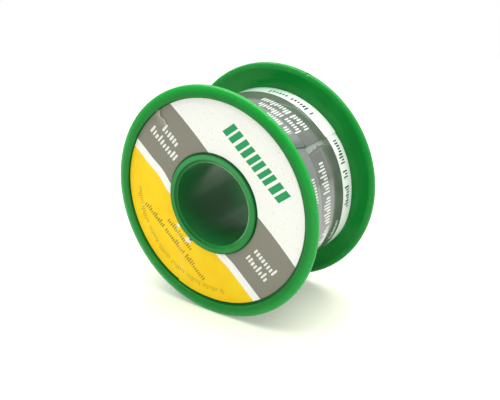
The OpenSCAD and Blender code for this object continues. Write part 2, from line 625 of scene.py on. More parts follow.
        # Painted shade: the recess's corner and the floor round the collar, the collar's shoulder
        # and the bevel's left side are painted darker.
        corner, groove = (
            1 - (abs(radius - middle) / width).ramp(0.6, 1.2)
            for middle, width in ((self.corner, 0.5), (self.collar, 0.4))
        )
        sunk = (height < self.face - 0.3) * (height > self.face - 1.0)
        shoulder = radius.ramp(self.collar - 0.45, self.collar - 0.15)
        shoulder = shoulder * (radius < self.collar + 0.05) * (height > self.face - 0.7)
        bevel = radius.between(self.bore + 0.2, self.bore + 0.7) * (height > self.face - 0.5)
        shares = (
            (corner * 0.55).most(groove * 0.6) * sunk,
            shoulder * 0.6,
            bevel * (0.75 - spot.x.ramp(-6.0, 5.0) * 0.75),
        )
        return [(share, self.tint(self.deep_gains)) for share in shares]

    def bore_layers(self, spot: Spot) -> list[Layer]:
        """Painted shade on the bore's wall with a painted sheen on its upper middle, and a painted
        highlight on the right and upper side of its mouth's lip.

        Args:
            spot: The point.

        Returns:
            Each layer's share and its colour.
        """
        x, z = spot.x, spot.z
        # Painted sheen on the bore wall's upper middle, over a darker, greyer painted shade.
        painted_bore_sheen = (x + z * 0.4).ramp(-7.0, 3.0) * z.ramp(-8.5, -3.0) * (1 - x.ramp(-3.0, 4.0))
        bore_shading = x.bench.blend(painted_bore_sheen, self.bore_shade_greens)
        # Painted highlight on the lip of the bore's mouth, on its right and upper side.
        lip = spot.radius.peak(self.bore + 0.07, 0.17) * (spot.height > self.face - 0.6)
        lip = lip * ((x * 0.9 + z * 0.4).ramp(0.0, 7.0) * 0.8)
        return [(spot.inside * 0.8, bore_shading), (lip, linear(*self.lip_highlight_green))]

    def relief(self, spot: Spot) -> bpy.types.NodeSocket:
        """The mould's faint grain, and the crown of the rim towards its edge.

        The bore's wall keeps the mesh's own normal, because a bump samples past its outline.

        Args:
            spot: The point.

        Returns:
            The normal.
        """
        bench, grain = spot.x.bench, spot.fine * 0.7 + spot.rub * 0.3
        crown = ((spot.radius - (self.edge - self.crown_width)).most(0.0) / self.crown_width) ** 3.0
        height = grain * self.grain_depth - crown * spot.outward * self.crown_drop
        even = bench.node("NewGeometry").outputs["Normal"]
        uneven = spot.radius > self.bore + self.smooth_margin
        return bench.mix(uneven, even, bench.bump(height, MM, 1.0))

    def gate_scar(self, spot: Spot) -> Scalar:
        """Where the plastic is whitened round the broken gate.

        Args:
            spot: The point.

        Returns:
            1 at the gate, fading to 0 beside it.
        """
        angle, reach, height = self.gate
        dx = spot.x - reach * math.cos(math.radians(angle))
        dz = spot.z - reach * math.sin(math.radians(angle))
        dy = spot.y - height
        return 1 - (dx * dx + dz * dz + dy * dy).ramp(*self.scar_reach)


@dataclass(frozen=True)
class SolderMetal:
    """Bright tin alloy wire, slightly dulled in random clouds."""

    name: str
    axis_height: float
    greys: Shades = ((176, 178, 180), (214, 215, 214))
    roughness: float = 0.3
    grain_depth: float = 0.000008

    def material(self) -> bpy.types.Material:
        """Builds the material.

        Returns:
            The material.
        """
        bench = Bench.of_material(self.name)
        place = bench.millimetres(self.axis_height)
        cloud, fine = bench.grain(place, 0.6, 3.0), bench.grain(place, 9.0, 3.0)
        return bench.surface(
            {
                "Base Color": bench.blend(cloud.ramp(0.3, 0.7), self.greys),
                "Metallic": 1.0,
                "Roughness": self.roughness + (cloud - 0.5) * 0.2,
                "Normal": bench.bump(fine, self.grain_depth, 0.4),
            }
        )


@dataclass(frozen=True)
class Row:
    """A row of plain upright bars that stands where a line of print is."""

    start: float
    end: float
    middle: float
    height: float
    pitch: float
    seed: float
    word: int = 0
    upward: float = 1.0
    second_seed: ClassVar[float] = 61.7
    corner_power: ClassVar[float] = 4.0
    word_gap: ClassVar[float] = 1.5

    def mask(self, along: Scalar, across: Scalar) -> Scalar:
        """Builds the row's mask.

        Args:
            along: Distance along the row.
            across: Distance across it.

        Returns:
            1 on the bars, else 0.
        """
        place = (along - self.start) / self.pitch
        cell = place.floor()
        dice = along.bench.chance(cell + self.seed)
        other = along.bench.chance(cell + (self.seed + self.second_seed))
        width = 0.24 + dice * 0.12
        tall = 0.3 + (other > 0.4) * 0.08 + (other > 0.7) * 0.12
        foot = (tall - 0.5) * (self.height * self.upward) + self.middle
        side = abs(place - cell - 0.5) / width
        edge = abs(across - foot) / (tall * self.height)
        bar = (side ** self.corner_power + edge ** self.corner_power) < 1.0
        inside = along.between(self.start, self.end)
        if self.word:
            number = cell - (cell / self.word).floor() * self.word
            inside = inside * (number < self.word - self.word_gap)
        return bar * inside


@dataclass(frozen=True)
class PaperSpot:
    """Where a point of the paper lies, also along and across its bands, and its noises."""

    x: Scalar
    z: Scalar
    radius: Scalar
    along: Scalar
    across: Scalar
    fine: Scalar
    specks: Scalar
    cloud: Scalar


@dataclass(frozen=True)
class PrintedPaper:
    """Matt label paper with printed bands, fine specks, worn spots and painted light at its fold.
    """

    name: str
    axis_height: float
    slope: Point = (0.743, 0.669)
    band_edges: Corner = (7.58, -5.42, -7.33)
    bay: Corner = (8.5, 12.5, 0.4)
    nose: Corner = (13.3, 3.2, 0.25)
    title_height: float = 15.35
    title_half: float = 1.7
    title_lean: float = 0.18
    title: tuple[Point, ...] = ((-7.15, 1.7), (-3.3, 1.6), (0.25, 1.5), (3.7, 1.45), (7.6, 1.85))
    fold_x: float = 13.42
    grey_band: Shades = ((130, 129, 115), (147, 145, 130))
    white_band: Shades = ((250, 251, 243), (196, 194, 180))
    yellow_band: Shades = ((252, 206, 4), (254, 216, 18))
    pale_bars: Shown = (240, 240, 232)
    dark_bars: Shown = (124, 92, 38)
    arc_bars: Shown = (150, 120, 50)
    title_green: Shown = (38, 158, 92)
    rubbed_yellow: Shown = (254, 228, 112)
    # Painted shadow, painted light and painted highlight at the fold.
    fold_shadow_grey: Shown = (104, 100, 88)
    fold_lit_grey: Shown = (182, 184, 170)
    crease_highlight: Shown = (214, 213, 192)
    torn_white: Shown = (246, 244, 226)
    torn_spots: tuple[Corner, ...] = (
        (-9.2, -7.15, 0.55), (-6.75, -9.85, 0.8), (-6.3, -10.0, 0.6)
    )
    rows_pale: tuple[Row, ...] = (
        Row(-18.9, -13.9, 2.4, 2.0, 0.83, 3.0),
        Row(-20.8, -12.2, -0.35, 2.0, 0.86, 17.0),
        Row(12.8, 19.3, 1.9, 2.0, 0.81, 29.0),
        Row(12.6, 19.2, -0.8, 2.0, 0.825, 41.0),
    )
    rows_dark: tuple[Row, ...] = (
        Row(-4.6, 3.8, -12.55, 1.3, 0.56, 53.0),
        Row(-10.8, 10.4, -14.9, 1.4, 0.56, 67.0, 13),
    )
    arc_row: Row = Row(181.0, 279.0, 19.7, 1.2, 1.5, 83.0, 9)

    def material(self) -> bpy.types.Material:
        """Builds the material.

        Returns:
            The material.
        """
        bench = Bench.of_material(self.name)
        x, _, z = bench.split(bench.millimetres(self.axis_height))
        flat = bench.join(x, 0.0, z)
        fine, specks = bench.grain(flat, 7.0, 3.0), bench.grain(flat, 2.6, 4.0)
        wobble = (bench.grain(flat, 5.0, 2.0) - 0.5) * 0.12
        cosine, sine = self.slope
        along, across = x * cosine - z * sine, x * sine + z * cosine + wobble
        cloud = bench.grain(flat, 0.16, 2.0)
        spot = PaperSpot(x, z, (x * x + z * z) ** 0.5, along, across, fine, specks, cloud)
        layers = [
            *self.band_layers(spot),
            *self.print_layers(spot),
            (self.rubbed(spot) * 0.28, linear(*self.rubbed_yellow)),
            *self.fold_layers(spot),
            (self.torn(spot), linear(*self.torn_white)),
        ]
        grey = bench.blend(fine.ramp(0.3, 0.75), self.grey_band)
        return bench.surface(
            {
                "Base Color": bench.paint(grey, layers),
                "Roughness": 0.5 + (fine - 0.5) * 0.2,
                "Specular IOR Level": 0.2,
                "Normal": bench.bump(fine * 0.6 + specks * 0.4, 0.00003, 0.35),
            }
        )

    def band_layers(self, spot: PaperSpot) -> list[Layer]:
        """The white band above the grey one, and the white and the yellow one below it.

        Args:
            spot: The point.

        Returns:
            Each layer's share and its colour.
        """
        bench, outward, across = spot.x.bench, abs(spot.along), spot.across
        near, far, depth = self.bay
        middle, width, rise = self.nose
        bay = (1 - outward.ramp(near, far)) * -depth + spot.along.peak(-middle, width) * rise
        crown = ((outward - 13.0) / 7.0) ** 2.0 * -0.25 - spot.along * 0.008
        speck = spot.specks.ramp(0.60, 0.70) * 0.6
        white = bench.blend(speck, self.white_band)
        yellow = bench.blend(spot.cloud.ramp(0.3, 0.7), self.yellow_band)
        upper, lower, lowest = self.band_edges
        return [
            (across > crown + upper, white),
            (across < bay + lower, white),
            (across < bay + lowest, yellow),
        ]

    def print_layers(self, spot: PaperSpot) -> list[Layer]:
        """The plain bars that stand where the print is.

        Args:
            spot: The point.

        Returns:
            Each layer's share and its colour.
        """
        bench, along, across = spot.x.bench, spot.along, spot.across
        half_turn = 180.0
        angle = bench.math("ARCTAN2", spot.z * -1.0, spot.x * -1.0) * (half_turn / math.pi)
        ring = self.arc_row.mask(angle + half_turn, spot.radius)
        pale, dark = linear(*self.pale_bars), linear(*self.dark_bars)
        return [
            *((row.mask(along, across) * 0.95, pale) for row in self.rows_pale),
            *((row.mask(along, across) * 0.75, dark) for row in self.rows_dark),
            (ring * 0.5, linear(*self.arc_bars)),
            (self.title_blocks(spot), linear(*self.title_green)),
        ]

    def title_blocks(self, spot: PaperSpot) -> Scalar:
        """Five pairs of plain slanted bars in the place of a title.

        Args:
            spot: The point.

        Returns:
            1 on the blocks, else 0.
        """
        up = spot.across - self.title_height
        edge, leaning = abs(up) / self.title_half, spot.along - up * self.title_lean
        total: Number = 0.0
        for middle, half in self.title:
            for side in (-0.55, 0.55):
                bar = abs(leaning - (middle + side * half)) / (0.4 * half)
                total = (bar.most(edge) < 1.0) + total
        return total

    def fold_layers(self, spot: PaperSpot) -> list[Layer]:
        """Painted light at the fold at the upper left: a painted shadow beyond the fold line,
        painted light on the raised paper before it and a painted highlight along the crease.

        Args:
            spot: The point.

        Returns:
            Each layer's share and its colour.
        """
        z = spot.z
        steep = (z - 17.0).least(0.0) * -0.4
        slant = ((z - 16.5).least(0.0) * -1.5).least(0.75)
        past = (spot.x + self.fold_x) - steep - slant
        beside = z.ramp(14.0, 14.9) * (1 - (spot.radius - 22.0).most(0.0) / 0.4)
        # Painted shadow beyond the fold line and painted light on the raised paper before it.
        fold_shadow = (1 - past.ramp(0.05, 1.1)) * (past > 0.0) * beside * z.ramp(14.6, 16.4)
        fold_lit = past.ramp(-2.6, -0.3) * (past < 0.0) * beside
        return [
            (fold_shadow * 0.55, linear(*self.fold_shadow_grey)),
            (fold_lit * 0.33, linear(*self.fold_lit_grey)),
            (past.peak(-0.02, 0.17) * beside * 0.8, linear(*self.crease_highlight)),
        ]

    def torn(self, spot: PaperSpot) -> Scalar:
        """Bare paper where the ring is nicked beside the collar.

        Args:
            spot: The point.

        Returns:
            1 on bare paper, else 0.
        """
        total: Number = 0.0
        for u, v, size in self.torn_spots:
            x, z = spot.x - u, spot.z - v
            away = abs(x * 0.68 + z * 0.73) + abs(z * 0.68 - x * 0.73)
            total = (1 - (away * 0.9 + (spot.fine - 0.5) * 0.9).ramp(size * 0.8, size)) + total
        return total.least(1.0)

    @staticmethod
    def rubbed(spot: PaperSpot) -> Scalar:
        """A faint upright streak where the print is rubbed thin.

        Args:
            spot: The point.

        Returns:
            The streak's share, from 0 to 1.
        """
        z = spot.z
        bend = (z + 8.0).least(0.0) * -0.13 - 9.3
        streak = 1 - (abs(spot.x - bend) / 1.1).ramp(0.1, 1.0)
        return streak * z.ramp(-21.0, -17.0) * (1 - z.ramp(-8.5, -6.5)) * (0.2 + spot.specks)


@dataclass(frozen=True)
class FilmSpot:
    """Where a point of the film lies, in degrees along it and in mm across, and its noises."""

    along: Scalar
    across: Scalar
    over: Scalar
    dashes: Scalar
    crumple: Scalar
    ragged: Scalar


@dataclass(frozen=True)
class PrintedFilm:
    """Glossy film with a grey print and a white stripe along its rear edge."""

    name: str
    arc: float
    seam_run: float
    half_width: float
    millimetres_per_degree: float
    gloss_ior: float = 1.9
    outer_turn: float = 200.0
    score_line: float = -1.75
    stripe_edge: float = 7.2
    grey_band: Shades = ((83, 89, 80), (95, 101, 91))
    stripe_whites: Shades = ((244, 249, 242), (190, 212, 198))
    front_grey: Shown = (110, 119, 111)
    dash_grey: Shown = (58, 62, 60)
    # Painted shade of the outer end, painted highlights on crumples and painted glare beside the
    # outer end.
    end_shade_grey: Shown = (44, 60, 50)
    crumple_highlight_grey: Shown = (128, 140, 133)
    glare_grey: Shown = (134, 146, 137)
    pale_bars: Shown = (226, 232, 225)
    dark_bars: Shown = (30, 52, 38)
    rows_pale: tuple[Row, ...] = (
        Row(338.3, 374.6, 2.45, 2.4, 1.9, 5.0, 12, -1.0),
        Row(341.3, 373.6, -0.4, 2.2, 1.8, 19.0, 11, -1.0),
        Row(351.5, 371.9, -3.1, 2.2, 1.8, 31.0, 8, -1.0),
        Row(34.5, 73.6, 0.35, 2.6, 1.95, 43.0, 11, -1.0),
        Row(40.8, 56.3, -3.8, 1.4, 1.8, 59.0, 0, -1.0),
        Row(75.3, 95.3, 0.9, 2.2, 1.9, 71.0, 0, -1.0),
        Row(76.0, 89.3, 5.2, 1.8, 1.8, 89.0, 0, -1.0),
    )
    rows_dark: tuple[Row, ...] = (
        Row(332.3, 366.3, 8.4, 1.7, 2.3, 97.0, 7, -1.0),
        Row(26.6, 42.3, 8.9, 1.8, 1.8, 103.0, 0, -1.0),
        Row(46.3, 52.3, 8.9, 1.8, 1.8, 109.0, 0, -1.0),
        Row(56.3, 71.3, 8.9, 1.8, 1.8, 113.0, 0, -1.0),
    )

    def material(self) -> bpy.types.Material:
        """Builds the material.

        Returns:
            The material.
        """
        bench = Bench.of_material(self.name)
        chart = bench.node("UVMap", {"uv_map": FilmWrap.chart}).outputs[0]
        u, v, _ = bench.split(chart)
        along = u * self.arc
        across = v * (2 * self.half_width) - self.half_width
        run = u * (self.arc * self.millimetres_per_degree)
        flat = bench.join(run, across, 0.0)
        fine, cloud = bench.grain(flat, 4.0, 3.0), bench.grain(flat, 0.25, 3.0)
        crumple, ragged = bench.grain(flat, 1.1, 3.0), bench.grain(flat, 0.5, 1.0)
        streak = bench.grain(bench.join(run * 0.15, across, 0.0), 2.2, 3.0)
        dashes = (run * 3.0 - (run * 3.0).floor()) > 0.35
        spot = FilmSpot(along, across, along > self.outer_turn, dashes, crumple, ragged)
        grey = bench.blend(cloud.ramp(0.3, 0.7), self.grey_band)
        pale, dark = linear(*self.pale_bars), linear(*self.dark_bars)
        layers = [
            *self.band_layers(spot),
            # Painted highlights on crumples, then a pale patch of painted glare with painted
            # glints.
            (self.crumple_highlights(spot), linear(*self.crumple_highlight_grey)),
            (self.painted_glare(spot), linear(*self.glare_grey)),
            self.stripe_layer(spot),
            *((row.mask(along, across) * 0.8, pale) for row in self.rows_pale),
            *((row.mask(along, across) * 0.95, dark) for row in self.rows_dark),
        ]
        return bench.surface(
            {
                "Base Color": bench.paint(grey, layers),
                "Roughness": 0.1 + (fine - 0.5) * 0.05 + streak.ramp(0.5, 0.8) * 0.05,
                "IOR": self.gloss_ior,
                "Normal": bench.bump(cloud * 0.6 + streak * 0.4, 0.00004, 0.3),
            }
        )

    def band_layers(self, spot: FilmSpot) -> list[Layer]:
        """The paler front band, the dashed line along it and painted shade on the outer end.

        Args:
            spot: The point.

        Returns:
            Each layer's share and its colour.
        """
        across, line = spot.across, spot.over * 0.3 + self.score_line
        # Painted shade on the front part of the outer end, where it curls up.
        end = spot.over * (1 - (across + 1.6).ramp(0.0, 0.7)) * spot.along.ramp(375.5, 382.0)
        return [
            (across < line, linear(*self.front_grey)),
            (across.peak(line, 0.12) * spot.dashes * 0.8, linear(*self.dash_grey)),
            (end * 0.7, linear(*self.end_shade_grey)),
        ]

    def stripe_layer(self, spot: FilmSpot) -> Layer:
        """The white stripe along the rear edge, with painted green-grey shade on top of the reel.

        Args:
            spot: The point.

        Returns:
            The stripe's share and its colour.
        """
        over = spot.over
        edge = self.stripe_edge - over * 0.35 - over * spot.along.peak(374.0, 14.0) * 0.3
        # Painted shade: the stripe is greener and darker on top of the reel.
        shaded = (1 - spot.along.ramp(336.0, 354.0)) * over
        white = over.bench.blend(shaded, self.stripe_whites)
        return spot.across > edge, white

    @staticmethod
    def crumple_highlights(spot: FilmSpot) -> Scalar:
        """Painted highlights on the film's crumples: a slanting streak, a wedge beside the stripe
        and a dashed line along a crease.

        Args:
            spot: The point.

        Returns:
            The highlights' share, from 0 to 1.
        """
        along, across = spot.along, spot.across
        slant = (along - 349.3) * 0.214 + 3.9
        streak = across.peak(slant, 0.3) * along.between(349.0, 356.5)
        wedge = across.ramp(5.3, 6.2) * along.ramp(353.0, 358.0) * (1 - along.ramp(367.0, 372.0))
        line = across.peak(2.85, 0.16) * along.between(27.8, 39.3) * spot.dashes
        return streak.most(wedge * 0.7).most(line)

    def painted_glare(self, spot: FilmSpot) -> Scalar:
        """A pale, crumpled patch beside the film's outer end, painted lighter as glare, with two
        painted glints.

        Args:
            spot: The point.

        Returns:
            The glare's share, from 0 to 1.
        """
        across, crumple, ragged = spot.across, spot.crumple, spot.ragged
        past = spot.along - self.seam_run
        wide = 1.9 + (across - 3.4).most(0.0) * 0.8 + (2.6 - across).most(0.0) * 0.55
        wide = wide + (ragged - 0.5) * 2.5 + (crumple - 0.5) * 1.5
        glare_patch = (1 - ((past - wide) / 0.7).most(0.0).least(1.0)) * (past > -1.0)
        glare_patch = glare_patch.most((past + (across - 1.0) * 0.33).peak(5.2, 0.7) * 0.3)
        glare_patch = glare_patch * (across + (ragged - 0.5) * 2.0).ramp(-1.9, -1.3)
        glare_patch = glare_patch * (crumple.ramp(0.2, 0.6) * 0.4 + 0.6) * (1 - across.ramp(4.5, 5.4) * 0.8)
        # Two painted glints on the crumples.
        glints: Number = 0.0
        for height in (4.2, 3.0):
            away = abs(across - height) * 6.0 + abs(past - 0.9) * 0.9
            glints = (1 - away).most(0.0) + glints
        return glare_patch.most(glints * 1.4).least(1.0)


# ---------------------------------------------------------------------------
# Sub-assemblies
# ---------------------------------------------------------------------------


class Side(Enum):
    """The two halves of the reel, with the direction in which each one's face looks."""

    FRONT = -1
    REAR = 1


@dataclass
class ReelHalf:
    """One moulding of the reel: a flange with its rim, recess, collar and length of barrel."""

    side: Side
    node: str
    colour: Shown
    gate_angle: float
    bore_r: float = 9.0
    barrel_wall: float = 1.9
    flange_t: float = 1.65
    edge_taper: float = 0.3
    taper_w: float = 3.6
    rim_w: float = 2.5
    recess_depth: float = 0.75
    nose_front: float = 0.7
    nose_w: float = 2.2
    nose_power: float = 3.6
    inner_nose_w: float = 1.6
    inner_nose_power: float = 2.0
    nose_steps: int = 28
    rim_round: float = 0.14
    bore_chamfer: float = 0.72
    chamfer_depth: float = 0.3
    collar_setback: float = 0.12
    collar_inset: float = 0.1
    collar_round: float = 0.2
    root_fillet: float = 0.4
    spigot_len: float = 5.0
    spigot_gap: float = 0.04
    lead_in: float = 0.35
    gate_w: float = 1.2
    gate_depth: float = 0.1
    gate_h: float = 0.7
    flange_r: float = field(init=False)
    face: float = field(init=False)

    def __post_init__(self) -> None:
        """Takes the reel's radius and half width from the CAD node."""
        low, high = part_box(self.node)
        self.flange_r = (high.x - low.x) / 2 / MM
        self.face = (high.y if self.side is Side.REAR else -low.y) / MM

    @property
    def barrel_r(self) -> float:
        """Radius of the barrel under the wire."""
        return self.bore_r + self.barrel_wall

    def nose(self) -> list[Point]:
        """The flange's rounded outer edge.

        Returns:
            Its points, from the rim's face to the inner face.
        """
        rear = self.flange_t - self.nose_front
        rear -= self.edge_taper * (1 - self.inner_nose_w / self.taper_w)
        points = []
        for step in range(self.nose_steps + 1):
            turn = math.pi * (step / self.nose_steps - 0.5)
            out, up = math.cos(turn), -math.sin(turn)
            half, width, power = rear, self.inner_nose_w, self.inner_nose_power
            if up > 0:
                half, width, power = self.nose_front, self.nose_w, self.nose_power
            r = self.flange_r - width + width * out ** (2 / power)
            z = math.copysign(half * abs(up) ** (2 / power), up)
            points.append((r, self.face - self.nose_front + z))
        return points

    def nose_at(self, height: float) -> Point:
        """The point of the rounded edge that lies nearest to a height."""
        outside = [p for p in self.nose() if p[0] > self.flange_r - self.nose_w / 2]
        return min(outside, key=lambda p: abs(p[1] - height))

    def corners(self) -> list[Corner]:
        """The half's outline, as corners with their roundings.

        Returns:
            Radius, height over the middle of the reel's width, and rounding of each corner.
        """
        face, floor = self.face, self.face - self.recess_depth
        collar, inner = self.face - self.collar_setback, self.face - self.flange_t
        spigot_r = self.bore_r + (self.barrel_wall - self.spigot_gap) / 2
        outline = [
            (self.bore_r, collar - self.chamfer_depth, 0.14),
            (self.bore_r + self.bore_chamfer, collar, 0.12),
            (self.barrel_r - self.collar_inset, collar, self.collar_round),
            (self.barrel_r - self.collar_inset, floor, 0.06),
            (self.flange_r - self.rim_w, floor, 0.08),
            (self.flange_r - self.rim_w, face, self.rim_round),
            *((r, z, 0.0) for r, z in self.nose()),
            (self.flange_r - self.taper_w, inner, 2.0),
            (self.barrel_r, inner, self.root_fillet),
        ]
        if self.side is Side.FRONT:
            return outline + [
                (self.barrel_r, 0.0, 0.05),
                (spigot_r, 0.0, 0.0),
                (spigot_r, self.lead_in - self.spigot_len, 0.05),
                (spigot_r - self.lead_in, -self.spigot_len, 0.05),
                (self.bore_r, -self.spigot_len, 0.0),
            ]
        gap, socket_r = self.spigot_gap, spigot_r + self.spigot_gap
        return outline + [
            (self.barrel_r, gap, 0.05),
            (socket_r + self.lead_in, gap, 0.05),
            (socket_r, gap + self.lead_in, 0.05),
            (socket_r, self.spigot_len + gap, 0.0),
            (self.bore_r, self.spigot_len + gap, 0.0),
        ]

    def build(self) -> bpy.types.Object:
        """Turns the half, breaks its gate off and dresses it.

        Returns:
            The finished half.
        """
        facing, side = self.side.value, self.side.name.lower()
        outline = [(r, facing * z) for r, z in rounded(self.corners())]
        half = Lathe(axis_height=self.flange_r).turn(f"{side}_reel_shell", outline)
        gate_r, height = self.nose_at(self.face - self.flange_t + self.edge_taper + self.gate_h / 2)
        gate_y, block = facing * height, 1.0
        place = (
            Matrix.Translation(Vector((0, gate_y, self.flange_r)) * MM)
            @ Matrix.Rotation(-math.radians(self.gate_angle), 4, "Y")
            @ Matrix.Translation(Vector((gate_r - self.gate_depth + block / 2, 0, 0)) * MM)
        )
        half.cut(Vector((block, 2 * self.gate_h, self.gate_w)), place)
        half.smooth()
        half.modify("WEIGHTED_NORMAL", keep_sharp=True)
        finish = GreenMoulding(
            name=f"{side}_green_moulding",
            colour=self.colour,
            axis_height=self.flange_r,
            bore=self.bore_r,
            collar=self.barrel_r,
            corner=self.flange_r - self.rim_w,
            edge=self.flange_r,
            face=self.face,
            gate=(self.gate_angle, gate_r, gate_y),
        )
        return half.finish(finish.material(), self.node, "green_moulding")


@dataclass
class Winding:
    """The wire: its inner layers as one ring of turns, and its outer layer turn by turn."""

    axis_height: float
    wire_d: float = 0.6
    winding_d: float = 38.9
    wire_gap: float = 0.05
    tail_bend: float = 0.9
    half_width: float = 11.05
    barrel_r: float = 10.9
    root_fillet: float = 0.4
    turn_steps: int = 64
    bend_steps: int = 6
    wire_sides: int = 10
    pocket_reach: float = 6.0

    @property
    def layer_r(self) -> float:
        """Radius of the outer layer's centre line."""
        return (self.winding_d - self.wire_d) / 2

    @property
    def layer_half(self) -> float:
        """Distance from the middle to the centre of the first and the last turn."""
        return self.half_width - self.wire_d / 2

    @property
    def turns(self) -> int:
        """Whole turns that lie side by side between the flanges."""
        return math.floor(2 * self.layer_half / self.wire_d)

    def build(self) -> list[bpy.types.Object]:
        """Builds both parts of the winding.

        Returns:
            The inner layers and the outer layer.
        """
        metal = SolderMetal("solder_metal", self.axis_height).material()
        return [
            self.inner_layers().finish(metal, "wire_inner_layers", "solder_wire"),
            self.outer_layer().finish(metal, "wire_outer_layer", "solder_wire"),
        ]

    def inner_layers(self) -> Workpiece:
        """A ring whose outside shows the turns of the layer under the outer one.

        Returns:
            The ring, with the pockets for the outer layer's ends.
        """
        bevel = self.root_fillet + self.wire_gap
        inner_r = self.barrel_r + self.wire_gap
        top_r = self.layer_r - self.wire_d / 2 - self.wire_gap
        wire_r = self.wire_d / 2
        outline: list[Point] = [
            (inner_r, bevel - self.half_width),
            (inner_r + bevel, -self.half_width),
            (top_r - wire_r, -self.half_width),
        ]
        count = self.turns
        pitch = 2 * self.half_width / count
        for turn in range(count):
            middle = (turn + 0.5) * pitch - self.half_width
            for degrees in range(160, 0, -35):
                angle = math.radians(degrees)
                outline.append(
                    (top_r - wire_r + wire_r * math.sin(angle), middle + wire_r * math.cos(angle))
                )
        outline += [
            (top_r - wire_r, self.half_width),
            (inner_r + bevel, self.half_width),
            (inner_r, self.half_width - bevel),
        ]
        ring = Lathe(self.axis_height, steps=144).turn("wire_inner_turns", outline)
        floor_r = self.layer_r - self.tail_bend - self.wire_d - self.wire_gap
        slack = self.wire_d / 2 + 2 * self.wire_gap
        depth = self.tail_bend + slack
        for along, up in ((-self.layer_half, -1), (self.layer_half, 1)):
            place = Matrix.Translation(
                Vector(
                    (floor_r + self.pocket_reach / 2, along, self.axis_height + up * depth / 2)
                ) * MM
            )
            ring.cut(Vector((self.pocket_reach, 2 * slack, depth)), place)
        ring.smooth(50.0)
        return ring

    def outer_layer(self) -> Workpiece:
        """One unbroken helix of close turns, with both ends turned down into the winding.

        Returns:
            The wire of the outer layer.
        """
        axis = Vector((0, 0, self.axis_height)) * MM
        wire = Workpiece.start(
            "wire_outer_turns",
            bpy.ops.mesh.primitive_circle_add,
            vertices=self.wire_sides,
            radius=self.wire_d / 2 * MM,
            location=(self.layer_r * MM, -self.layer_half * MM, self.axis_height * MM),
        )
        wire.settle()
        wire.activate()
        bpy.context.scene.cursor.location = axis
        bpy.ops.object.origin_set(type="ORIGIN_CURSOR")
        wire.modify(
            "SCREW",
            axis="Y",
            angle=-FULL_TURN,
            screw_offset=2 * self.layer_half / self.turns * MM,
            iterations=self.turns,
            steps=self.turn_steps,
            render_steps=self.turn_steps,
            use_merge_vertices=False,
        )
        wire.settle()
        self.bend_end(wire, -self.layer_half, -1)
        self.bend_end(wire, self.layer_half, 1)
        wire.close_up()
        wire.smooth(60.0)
        return wire

    def bend_end(self, wire: Workpiece, along: float, up: int) -> None:
        """Turns one open end of the wire down into the winding and closes it.

        Args:
            wire: The wire.
            along: The end's place along the reel's axis.
            up: 1 where the end runs upwards, -1 where it runs downwards.
        """
        near = self.wire_d * 0.6 * MM
        centre = Vector((self.layer_r, along, self.axis_height)) * MM
        bend = Vector((self.layer_r - self.tail_bend, along, self.axis_height)) * MM
        with wire.editing():
            bpy.ops.mesh.select_mode(type="VERT")
            bpy.ops.mesh.select_all(action="DESELECT")
            mesh = bmesh.from_edit_mesh(wire.obj.data)
            for edge in mesh.edges:
                if edge.is_boundary and all((v.co - centre).length < near for v in edge.verts):
                    edge.select = True
            bmesh.update_edit_mesh(wire.obj.data)
            bpy.ops.mesh.spin(
                steps=self.bend_steps, angle=-up * math.pi / 2, center=bend, axis=(0, 1, 0)
            )
            bpy.ops.mesh.extrude_region_move(
                TRANSFORM_OT_translate={"value": (-self.wire_d * MM, 0, 0)}
            )
            bpy.ops.mesh.edge_face_add()


